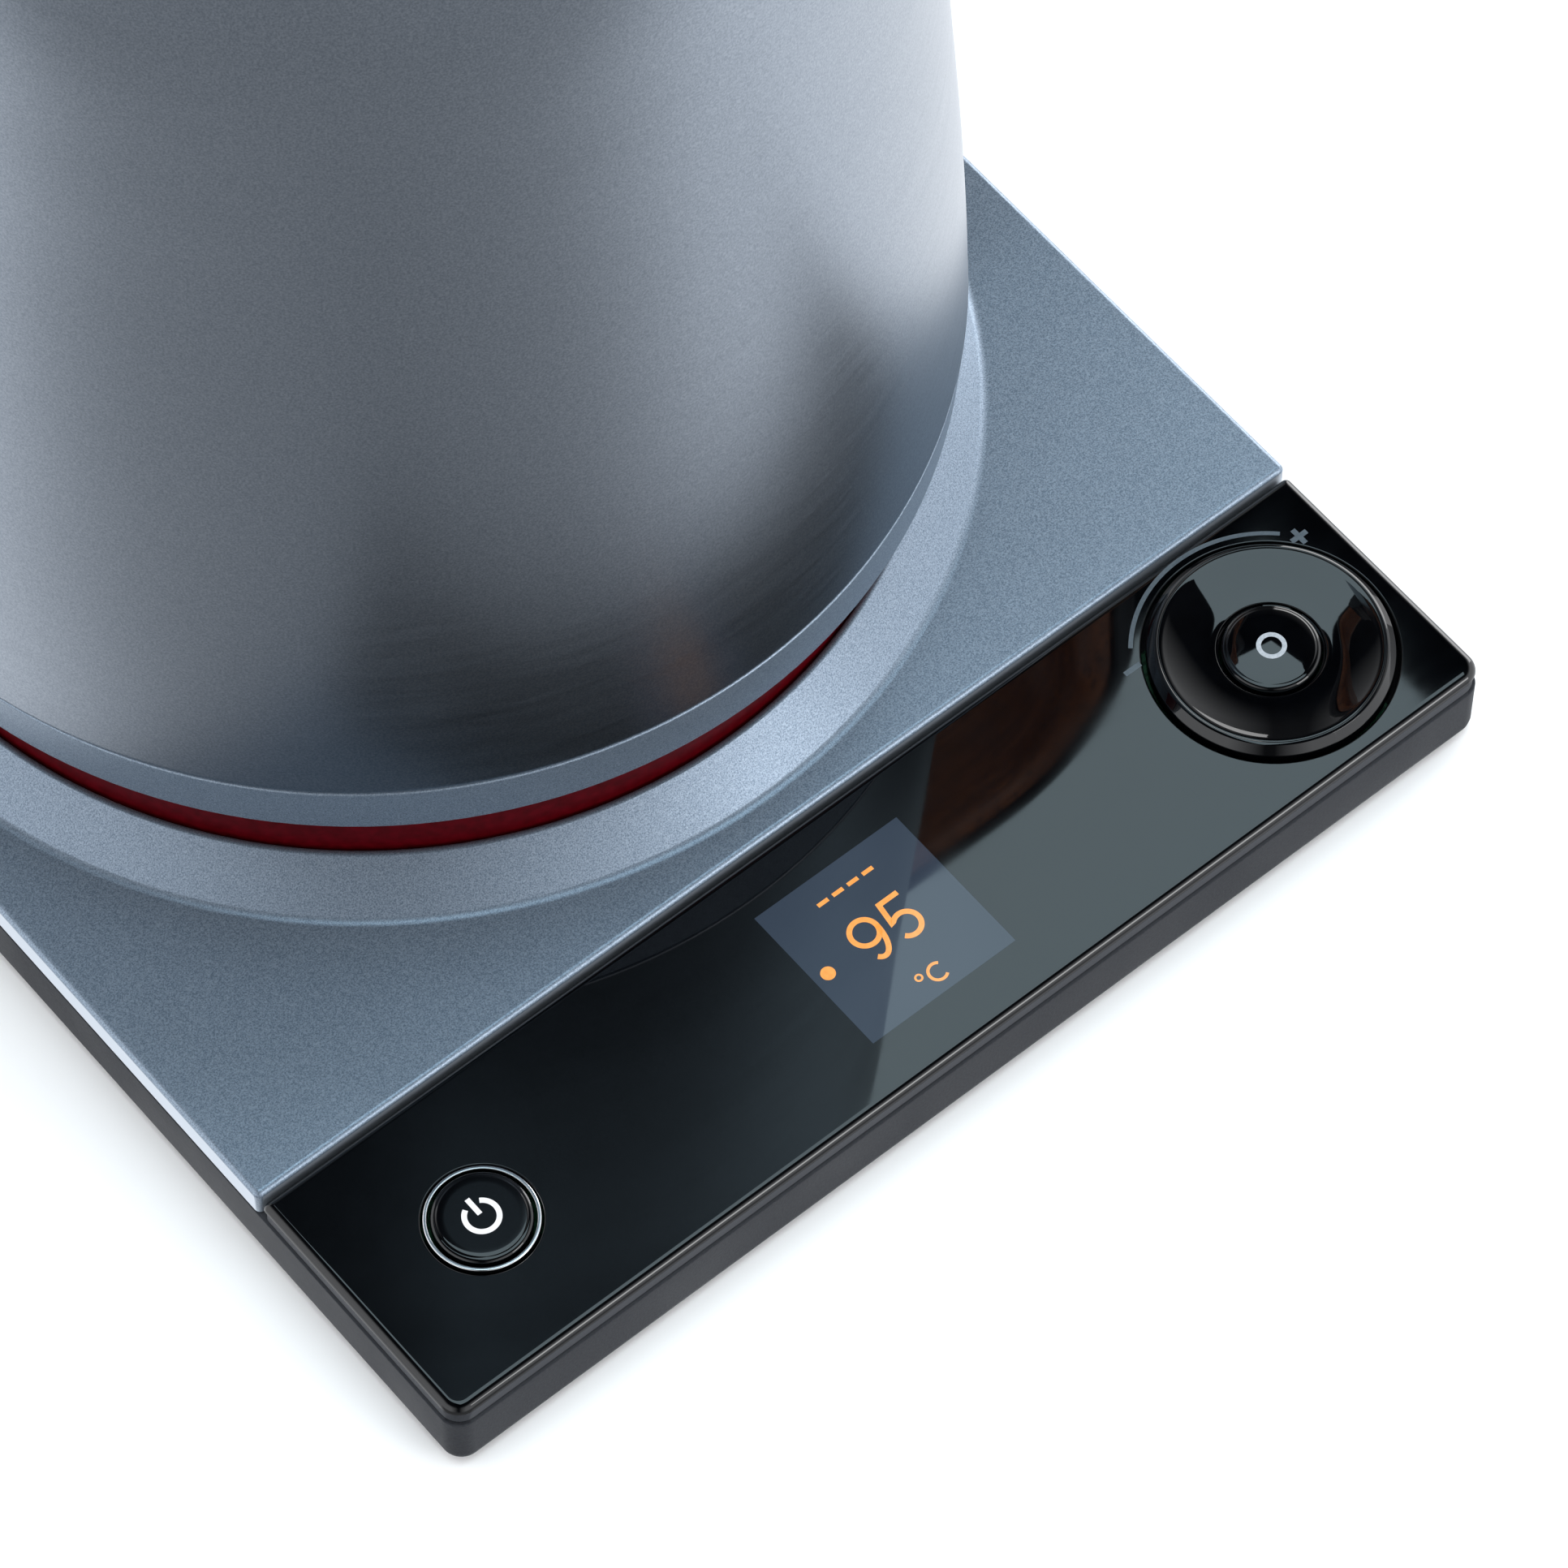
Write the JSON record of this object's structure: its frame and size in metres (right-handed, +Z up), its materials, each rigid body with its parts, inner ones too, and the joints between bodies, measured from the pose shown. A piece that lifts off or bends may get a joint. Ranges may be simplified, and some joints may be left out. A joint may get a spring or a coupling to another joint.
{
  "type": "electric kettle",
  "caption": "Variable-temperature electric kettle on a flat rectangular power base with a glossy control strip, a turning dial and a small lit display.",
  "frame": {"origin": "middle of the object's box, on the floor under the rubber feet", "axes": "+Z up, the control strip faces -Y, the spout points to -X and the handle to +X"},
  "size_m": [0.2329, 0.2086, 0.2305],
  "materials": {
    "blue_grey_paint": "fine metallic satin paint",
    "satin_steel": "satin, fine grain",
    "bright_steel": "bright",
    "charcoal_plastic": "fine spark-eroded texture",
    "gloss_black": "high gloss",
    "black_plastic": "satin",
    "red_silicone": "smooth, deep red",
    "grey_rubber": "matt",
    "brown_grip": "oiled dark wood",
    "green_board": "solder mask",
    "contact_brass": "plain",
    "cast_aluminium": "as cast",
    "display_glass": "backlit display face",
    "ribbon_grey": "flat cable"
  },
  "bodies": {
    "base": {"base_tray": "charcoal_plastic", "top_cover": "blue_grey_paint", "panel_carrier": "charcoal_plastic", "control_panel": "gloss_black", "power_trim_ring": "bright_steel", "control_board": "green_board", "display_module": "display_glass", "dial_switch": "black_plastic", "power_switch": "black_plastic", "dial_encoder": "black_plastic", "buzzer": "black_plastic", "power_board": "green_board", "power_relay": "black_plastic", "supply_transformer": "cast_aluminium", "ribbon_cable": "ribbon_grey", "base_connector": "black_plastic", "earth_pin": "contact_brass", "line_contact": "contact_brass", "inlet_gland": "grey_rubber", "foot_1": "grey_rubber", "foot_2": "grey_rubber", "foot_3": "grey_rubber", "foot_4": "grey_rubber", "tray_screw_1": "bright_steel", "tray_screw_2": "bright_steel", "tray_screw_3": "bright_steel", "tray_screw_4": "bright_steel"},
    "dial": {"temperature_dial": "gloss_black"},
    "dial_button": {"dial_button": "gloss_black"},
    "power_button": {"power_button": "gloss_black"},
    "turntable": {"seat_ring": "red_silicone"},
    "kettle": {"kettle_shell": "satin_steel", "foot_ring": "blue_grey_paint", "bottom_cover": "black_plastic", "heater_plate": "bright_steel", "diffuser_plate": "cast_aluminium", "heating_element": "cast_aluminium", "probe_seal": "red_silicone", "temperature_probe": "bright_steel", "thermal_cutout": "black_plastic", "kettle_connector": "black_plastic", "connector_contact": "contact_brass", "spout": "satin_steel", "spout_filter": "black_plastic", "lid_collar": "blue_grey_paint", "hinge_housing": "black_plastic", "hinge_pin": "bright_steel", "handle_cover": "black_plastic", "handle_grip": "brown_grip", "handle_bracket": "bright_steel", "handle_screw_1": "bright_steel", "handle_screw_2": "bright_steel", "release_spring": "bright_steel"},
    "lid": {"lid_cover": "satin_steel", "lid_inner": "black_plastic", "lid_seal": "grey_rubber"},
    "release_button": {"lid_release": "gloss_black"},
    "latch": {"latch_bolt": "bright_steel"}
  },
  "joints": [
    {"name": "dial_turn", "type": "hinge", "parent": "base", "child": "dial", "pos_m": [0.0466, -0.0847, 0.01455], "axis": [0, 0, 1], "continuous": true},
    {"name": "dial_button_press", "type": "slide", "parent": "dial", "child": "dial_button", "axis": [0, 0, -1], "range_m": [0, 0.0008], "stiffness_N_per_m": 900},
    {"name": "power_button_press", "type": "slide", "parent": "base", "child": "power_button", "axis": [0, 0, -1], "range_m": [0, 0.0008], "stiffness_N_per_m": 900},
    {"name": "kettle_turn", "type": "hinge", "parent": "base", "child": "turntable", "pos_m": [-0.0185, 0.0194, 0.027], "axis": [0, 0, 1], "continuous": true},
    {"name": "kettle_lift", "type": "slide", "parent": "turntable", "child": "kettle", "axis": [0, 0, 1], "range_m": [0, 0.12]},
    {"name": "lid_open", "type": "hinge", "parent": "kettle", "child": "lid", "pos_m": [0.0315, 0.0194, 0.219], "axis": [0, 1, 0], "range_deg": [0, 75]},
    {"name": "lid_release_press", "type": "slide", "parent": "kettle", "child": "release_button", "axis": [0, 0, -1], "range_m": [0, 0.0025], "stiffness_N_per_m": 600, "deforming": ["release_spring"]},
    {"name": "latch_draw", "type": "slide", "parent": "kettle", "child": "latch", "axis": [1, 0, 0], "range_m": [0, 0.0025]}
  ],
  "couplings": [
    {"joint": "latch_draw", "follows": "lid_release_press", "ratio": 1}
  ]
}
